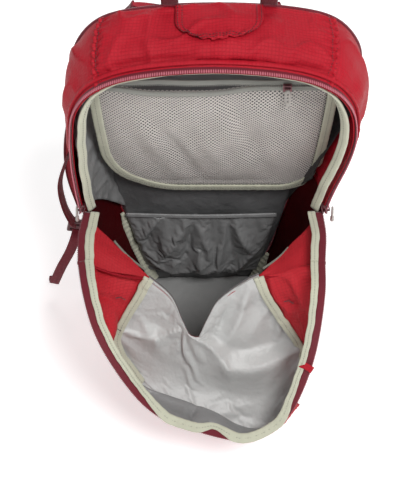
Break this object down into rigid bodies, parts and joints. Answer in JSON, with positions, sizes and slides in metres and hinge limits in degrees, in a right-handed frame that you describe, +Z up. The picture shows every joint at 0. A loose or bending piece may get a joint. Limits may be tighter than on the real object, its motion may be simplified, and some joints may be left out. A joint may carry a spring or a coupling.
{
  "type": "daypack",
  "caption": "Panel-loading hiking daypack with its zipped front flap folded open, a hanging mesh pocket inside, padded shoulder straps and a webbing haul loop.",
  "frame": {"origin": "on the floor under the base panel, on the pack's middle plane, below the middle of the closed zipper", "axes": "+Z up, +Y towards the wearer's back panel, +X to the right as seen from the front"},
  "size_m": [0.3337, 0.3367, 0.514],
  "materials": {
    "ripstop": "red ripstop nylon, fine grid, soft sheen",
    "webbing": "dark crimson woven webbing and zipper tape",
    "binding": "pale sage-grey ribbed binding tape, ruched",
    "net": "warm grey hexagonal net",
    "net_tape": "grey zipper tape",
    "lining": "light grey coated lining, semi-gloss, creased",
    "back_fabric": "crimson padded back cloth",
    "pad_mesh": "dark crimson spacer mesh over foam",
    "strap_fabric": "crimson padded strap cloth",
    "slider_metal": "enamelled zipper slider",
    "pull_cord": "pale grey braided cord",
    "lock_plastic": "moulded dark crimson acetal"
  },
  "bodies": {
    "pack": {"back_panel": "back_fabric", "back_pad_left": "pad_mesh", "back_pad_right": "pad_mesh", "top_panel": "ripstop", "side_panel_left": "ripstop", "side_panel_right": "ripstop", "front_strip": "ripstop", "base_panel": "ripstop", "body_zip_tape": "webbing", "haul_patch": "webbing", "adjuster_webbing_left": "webbing", "adjuster_webbing_right": "webbing", "lower_webbing_left": "webbing", "lower_webbing_right": "webbing", "webbing_tail_left": "webbing", "webbing_tail_right": "webbing", "anchor_tab_left": "webbing", "anchor_tab_right": "webbing", "arch_binding": "binding", "mesh_pocket_binding": "binding", "seam_binding_left": "binding", "seam_binding_right": "binding", "mesh_pocket": "net", "mesh_zip_tape": "net_tape", "inner_sleeve": "lining", "sleeve_hem": "lining", "shoulder_strap_left": "strap_fabric", "shoulder_strap_right": "strap_fabric"},
    "flap": {"flap_panel": "ripstop", "flap_gusset_left": "ripstop", "flap_gusset_right": "ripstop", "flap_gusset_top": "ripstop", "flap_zip_tape": "webbing", "flap_rim_binding": "binding", "flap_seam_binding_left": "binding", "flap_seam_binding_right": "binding", "flap_lining": "lining"},
    "slider_left": {"slider_left": "slider_metal"},
    "slider_right": {"slider_right": "slider_metal"},
    "pull_left": {"pull_left": "pull_cord"},
    "pull_right": {"pull_right": "pull_cord"},
    "mesh_slider": {"mesh_slider": "slider_metal"},
    "mesh_pull": {"mesh_pull": "pull_cord"},
    "haul_loop": {"haul_loop": "webbing"},
    "ladder_lock_left": {"ladder_lock_left": "lock_plastic"},
    "ladder_lock_right": {"ladder_lock_right": "lock_plastic"}
  },
  "joints": [
    {"name": "flap_fold", "type": "hinge", "parent": "pack", "child": "flap", "pos_m": [0, -0.064, 0.249], "axis": [-1, 0, 0], "range_deg": [0, 163]},
    {"name": "slider_left_travel", "type": "slide", "parent": "pack", "child": "slider_left", "axis": [-0.124, 0, 0.9923], "range_m": [0, 0.06]},
    {"name": "slider_right_travel", "type": "slide", "parent": "pack", "child": "slider_right", "axis": [0.124, 0, 0.9923], "range_m": [0, 0.06]},
    {"name": "pull_left_swing", "type": "hinge", "parent": "slider_left", "child": "pull_left", "pos_m": [-0.1325, 0, 0.253], "axis": [0, 1, 0], "range_deg": [0, 150]},
    {"name": "pull_right_swing", "type": "hinge", "parent": "slider_right", "child": "pull_right", "pos_m": [0.1325, 0, 0.253], "axis": [0, -1, 0], "range_deg": [0, 150]},
    {"name": "mesh_slider_travel", "type": "slide", "parent": "pack", "child": "mesh_slider", "axis": [-1, 0, 0], "range_m": [0, 0.15]},
    {"name": "mesh_pull_swing", "type": "hinge", "parent": "mesh_slider", "child": "mesh_pull", "pos_m": [0.078, 0.0255, 0.4215], "axis": [-1, 0, 0], "range_deg": [0, 100]},
    {"name": "haul_loop_fold", "type": "hinge", "parent": "pack", "child": "haul_loop", "pos_m": [0, 0.081, 0.4655], "axis": [-1, 0, 0], "range_deg": [-70, 80]},
    {"name": "ladder_lock_left_tilt", "type": "hinge", "parent": "pack", "child": "ladder_lock_left", "pos_m": [-0.148, 0.078, 0.112], "axis": [0.9781, 0, -0.2079], "range_deg": [0, 30]},
    {"name": "ladder_lock_right_tilt", "type": "hinge", "parent": "pack", "child": "ladder_lock_right", "pos_m": [0.094, 0.114, 0.112], "axis": [0.9781, 0, 0.2079], "range_deg": [0, 30]}
  ]
}
